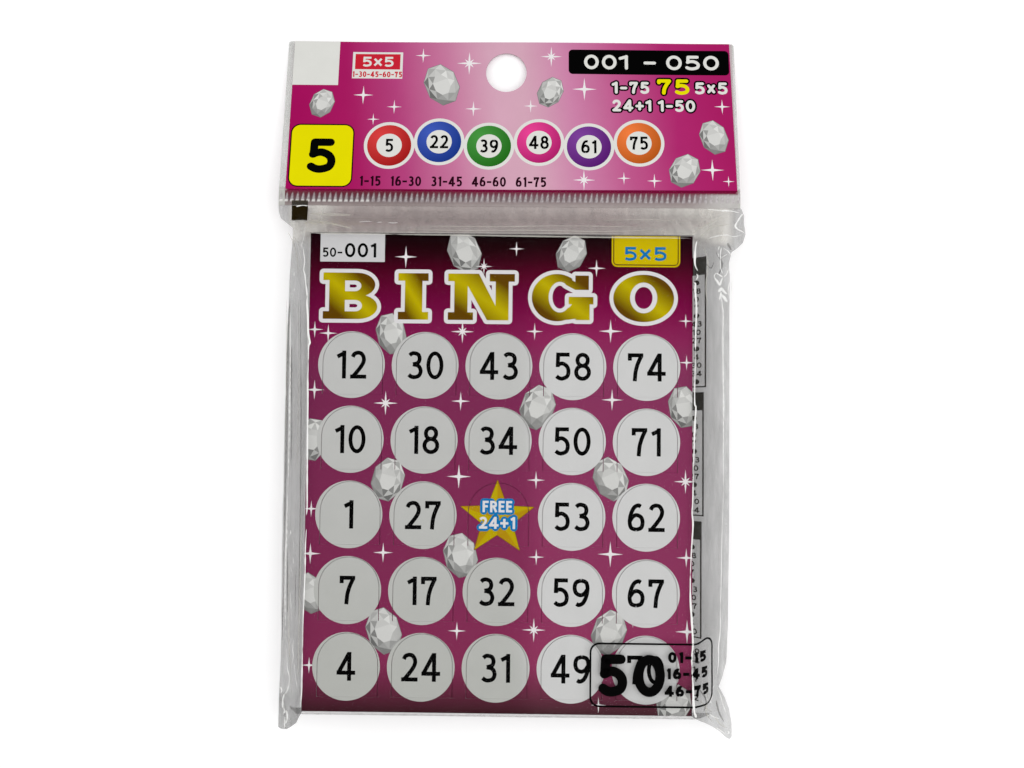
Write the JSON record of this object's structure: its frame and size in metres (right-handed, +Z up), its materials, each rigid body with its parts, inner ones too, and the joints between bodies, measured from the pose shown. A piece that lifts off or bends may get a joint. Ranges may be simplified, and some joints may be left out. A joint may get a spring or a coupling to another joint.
{
  "type": "bingo card pack",
  "caption": "Stack of punch-out bingo cards in a clear film header bag with a hang hole; the top card's number flaps are hinged.",
  "frame": {"origin": "middle of the pack's footprint, on the surface that it lies on with its printed face up", "axes": "+X to the right of the printed face, +Y towards the header's top edge, +Z up, out of the printed face"},
  "size_m": [0.106, 0.1606, 0.0142],
  "materials": {
    "card_print": "satin",
    "flap_print": "satin",
    "free_flap_print": "satin",
    "card_board": "matte",
    "clear_film": "gloss",
    "seal_film": "gloss",
    "header_print": "gloss",
    "header_lining": "gloss",
    "lip_film": "gloss",
    "adhesive": "satin"
  },
  "bodies": {
    "pack": {"top_card": "card_print", "cards_below": "card_board", "pouch_front_film": "clear_film", "pouch_back_film": "clear_film", "heat_seal": "seal_film"},
    "header": {"header_front_film": "header_print", "header_back_film": "header_lining"},
    "lip": {"closing_flap": "lip_film", "adhesive_strip": "adhesive"},
    "flap_b1_leaf": {"flap_b1": "flap_print"},
    "flap_b2_leaf": {"flap_b2": "flap_print"},
    "flap_b3_leaf": {"flap_b3": "flap_print"},
    "flap_b4_leaf": {"flap_b4": "flap_print"},
    "flap_b5_leaf": {"flap_b5": "flap_print"},
    "flap_i1_leaf": {"flap_i1": "flap_print"},
    "flap_i2_leaf": {"flap_i2": "flap_print"},
    "flap_i3_leaf": {"flap_i3": "flap_print"},
    "flap_i4_leaf": {"flap_i4": "flap_print"},
    "flap_i5_leaf": {"flap_i5": "flap_print"},
    "flap_n1_leaf": {"flap_n1": "flap_print"},
    "flap_n2_leaf": {"flap_n2": "flap_print"},
    "flap_n3_leaf": {"flap_n3": "free_flap_print"},
    "flap_n4_leaf": {"flap_n4": "flap_print"},
    "flap_n5_leaf": {"flap_n5": "flap_print"},
    "flap_g1_leaf": {"flap_g1": "flap_print"},
    "flap_g2_leaf": {"flap_g2": "flap_print"},
    "flap_g3_leaf": {"flap_g3": "flap_print"},
    "flap_g4_leaf": {"flap_g4": "flap_print"},
    "flap_g5_leaf": {"flap_g5": "flap_print"},
    "flap_o1_leaf": {"flap_o1": "flap_print"},
    "flap_o2_leaf": {"flap_o2": "flap_print"},
    "flap_o3_leaf": {"flap_o3": "flap_print"},
    "flap_o4_leaf": {"flap_o4": "flap_print"},
    "flap_o5_leaf": {"flap_o5": "flap_print"}
  },
  "joints": [
    {"name": "header_fold", "type": "hinge", "parent": "pack", "child": "header", "pos_m": [0, 0.04308, 0.00645], "axis": [1, 0, 0], "range_deg": [-30, 130]},
    {"name": "lip_peel", "type": "hinge", "parent": "pack", "child": "lip", "pos_m": [0, 0.03867, 0.00615], "axis": [1, 0, 0], "range_deg": [0, 90]},
    {"name": "flap_b1_fold", "type": "hinge", "parent": "pack", "child": "flap_b1_leaf", "pos_m": [-0.0341, -0.00417, 0.01258], "axis": [1, 0, 0], "range_deg": [0, 5]},
    {"name": "flap_b2_fold", "type": "hinge", "parent": "pack", "child": "flap_b2_leaf", "pos_m": [-0.0341, -0.02067, 0.01258], "axis": [1, 0, 0], "range_deg": [0, 5]},
    {"name": "flap_b3_fold", "type": "hinge", "parent": "pack", "child": "flap_b3_leaf", "pos_m": [-0.0341, -0.03717, 0.01258], "axis": [1, 0, 0], "range_deg": [0, 5]},
    {"name": "flap_b4_fold", "type": "hinge", "parent": "pack", "child": "flap_b4_leaf", "pos_m": [-0.0341, -0.05367, 0.01258], "axis": [1, 0, 0], "range_deg": [0, 5]},
    {"name": "flap_b5_fold", "type": "hinge", "parent": "pack", "child": "flap_b5_leaf", "pos_m": [-0.0341, -0.07017, 0.01258], "axis": [1, 0, 0], "range_deg": [0, 5]},
    {"name": "flap_i1_fold", "type": "hinge", "parent": "pack", "child": "flap_i1_leaf", "pos_m": [-0.0178, -0.00417, 0.01258], "axis": [1, 0, 0], "range_deg": [0, 5]},
    {"name": "flap_i2_fold", "type": "hinge", "parent": "pack", "child": "flap_i2_leaf", "pos_m": [-0.0178, -0.02067, 0.01258], "axis": [1, 0, 0], "range_deg": [0, 5]},
    {"name": "flap_i3_fold", "type": "hinge", "parent": "pack", "child": "flap_i3_leaf", "pos_m": [-0.0178, -0.03717, 0.01258], "axis": [1, 0, 0], "range_deg": [0, 5]},
    {"name": "flap_i4_fold", "type": "hinge", "parent": "pack", "child": "flap_i4_leaf", "pos_m": [-0.0178, -0.05367, 0.01258], "axis": [1, 0, 0], "range_deg": [0, 5]},
    {"name": "flap_i5_fold", "type": "hinge", "parent": "pack", "child": "flap_i5_leaf", "pos_m": [-0.0178, -0.07017, 0.01258], "axis": [1, 0, 0], "range_deg": [0, 5]},
    {"name": "flap_n1_fold", "type": "hinge", "parent": "pack", "child": "flap_n1_leaf", "pos_m": [-0.0015, -0.00417, 0.01258], "axis": [1, 0, 0], "range_deg": [0, 5]},
    {"name": "flap_n2_fold", "type": "hinge", "parent": "pack", "child": "flap_n2_leaf", "pos_m": [-0.0015, -0.02067, 0.01258], "axis": [1, 0, 0], "range_deg": [0, 5]},
    {"name": "flap_n3_fold", "type": "hinge", "parent": "pack", "child": "flap_n3_leaf", "pos_m": [-0.0015, -0.03717, 0.01258], "axis": [1, 0, 0], "range_deg": [0, 5]},
    {"name": "flap_n4_fold", "type": "hinge", "parent": "pack", "child": "flap_n4_leaf", "pos_m": [-0.0015, -0.05367, 0.01258], "axis": [1, 0, 0], "range_deg": [0, 5]},
    {"name": "flap_n5_fold", "type": "hinge", "parent": "pack", "child": "flap_n5_leaf", "pos_m": [-0.0015, -0.07017, 0.01258], "axis": [1, 0, 0], "range_deg": [0, 5]},
    {"name": "flap_g1_fold", "type": "hinge", "parent": "pack", "child": "flap_g1_leaf", "pos_m": [0.0148, -0.00417, 0.01258], "axis": [1, 0, 0], "range_deg": [0, 5]},
    {"name": "flap_g2_fold", "type": "hinge", "parent": "pack", "child": "flap_g2_leaf", "pos_m": [0.0148, -0.02067, 0.01258], "axis": [1, 0, 0], "range_deg": [0, 5]},
    {"name": "flap_g3_fold", "type": "hinge", "parent": "pack", "child": "flap_g3_leaf", "pos_m": [0.0148, -0.03717, 0.01258], "axis": [1, 0, 0], "range_deg": [0, 5]},
    {"name": "flap_g4_fold", "type": "hinge", "parent": "pack", "child": "flap_g4_leaf", "pos_m": [0.0148, -0.05367, 0.01258], "axis": [1, 0, 0], "range_deg": [0, 5]},
    {"name": "flap_g5_fold", "type": "hinge", "parent": "pack", "child": "flap_g5_leaf", "pos_m": [0.0148, -0.07017, 0.01258], "axis": [1, 0, 0], "range_deg": [0, 5]},
    {"name": "flap_o1_fold", "type": "hinge", "parent": "pack", "child": "flap_o1_leaf", "pos_m": [0.0311, -0.00417, 0.01258], "axis": [1, 0, 0], "range_deg": [0, 5]},
    {"name": "flap_o2_fold", "type": "hinge", "parent": "pack", "child": "flap_o2_leaf", "pos_m": [0.0311, -0.02067, 0.01258], "axis": [1, 0, 0], "range_deg": [0, 5]},
    {"name": "flap_o3_fold", "type": "hinge", "parent": "pack", "child": "flap_o3_leaf", "pos_m": [0.0311, -0.03717, 0.01258], "axis": [1, 0, 0], "range_deg": [0, 5]},
    {"name": "flap_o4_fold", "type": "hinge", "parent": "pack", "child": "flap_o4_leaf", "pos_m": [0.0311, -0.05367, 0.01258], "axis": [1, 0, 0], "range_deg": [0, 5]},
    {"name": "flap_o5_fold", "type": "hinge", "parent": "pack", "child": "flap_o5_leaf", "pos_m": [0.0311, -0.07017, 0.01258], "axis": [1, 0, 0], "range_deg": [0, 5]}
  ]
}
